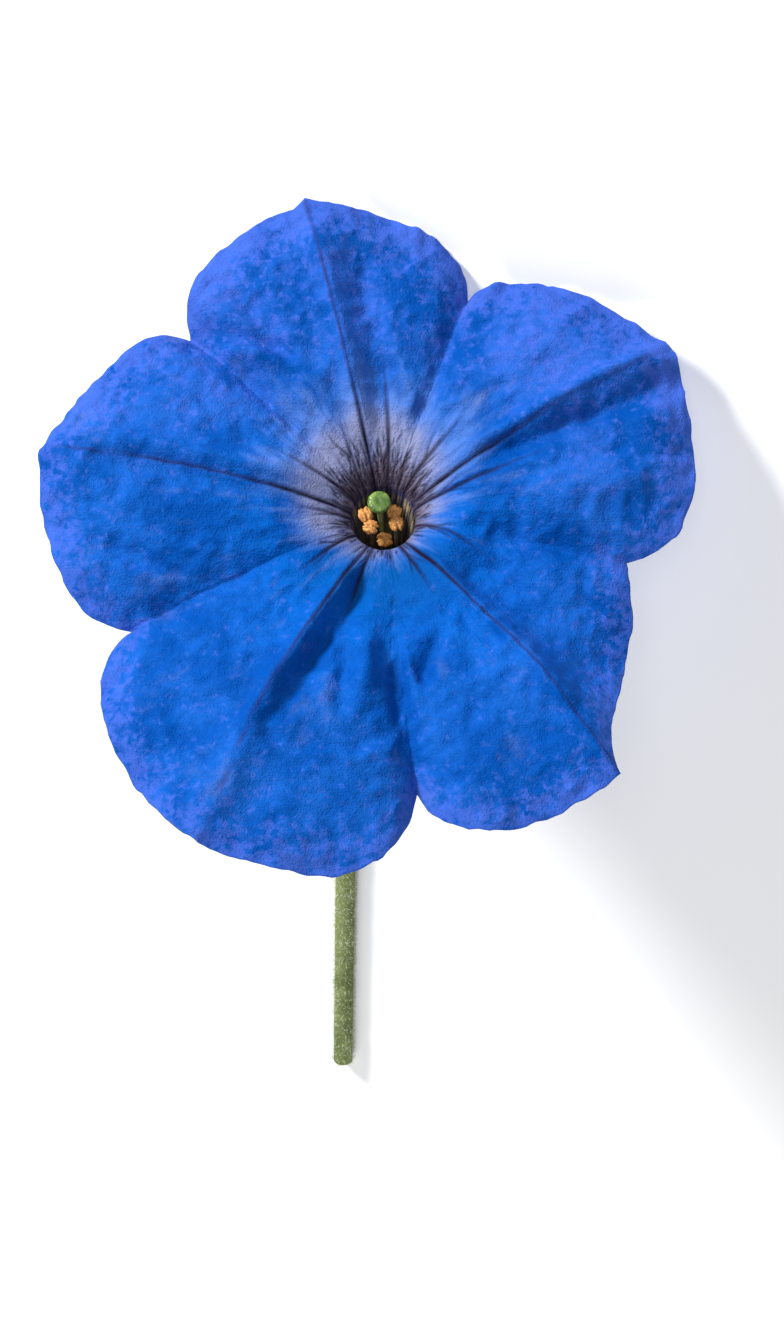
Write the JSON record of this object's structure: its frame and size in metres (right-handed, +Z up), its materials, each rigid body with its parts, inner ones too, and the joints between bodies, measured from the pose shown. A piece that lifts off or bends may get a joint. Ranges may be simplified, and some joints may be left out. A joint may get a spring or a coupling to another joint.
{
  "type": "petunia flower",
  "caption": "Cut petunia blossom lying on a surface: a ruffled blue trumpet corolla with dark veins round its throat, stamens and pistil inside, narrow sepals behind, and a hairy green stalk.",
  "frame": {"origin": "middle of the footprint, on the surface that the cut flower lies on", "axes": "+Z up; +Y along the stalk, away from the face of the blossom; the blossom faces -Y and up"},
  "size_m": [0.0768, 0.1272, 0.0661],
  "materials": {
    "petal": "velvety violet-blue petal tissue, near black-purple veins and a grey-lavender halo round the throat",
    "sepal_green": "matte hairy green leaf tissue",
    "stem_green": "matte olive green, mealy with short glandular hairs",
    "pistil_green": "smooth pale green, slightly translucent",
    "stigma_green": "wet, sticky bright green",
    "filament_pale": "smooth pale lavender-green",
    "pollen": "granular orange-tan, dusted with pollen"
  },
  "bodies": {
    "root": {"corolla": "petal", "sepal_1": "sepal_green", "sepal_2": "sepal_green", "sepal_3": "sepal_green", "sepal_4": "sepal_green", "sepal_5": "sepal_green", "ovary": "pistil_green", "style": "pistil_green", "stigma": "stigma_green", "anther_1": "pollen", "anther_2": "pollen", "anther_3": "pollen", "anther_4": "pollen", "anther_5": "pollen", "filament_1": "filament_pale", "filament_2": "filament_pale", "filament_3": "filament_pale", "filament_4": "filament_pale", "filament_5": "filament_pale", "pedicel": "stem_green"}
  },
  "joints": []
}
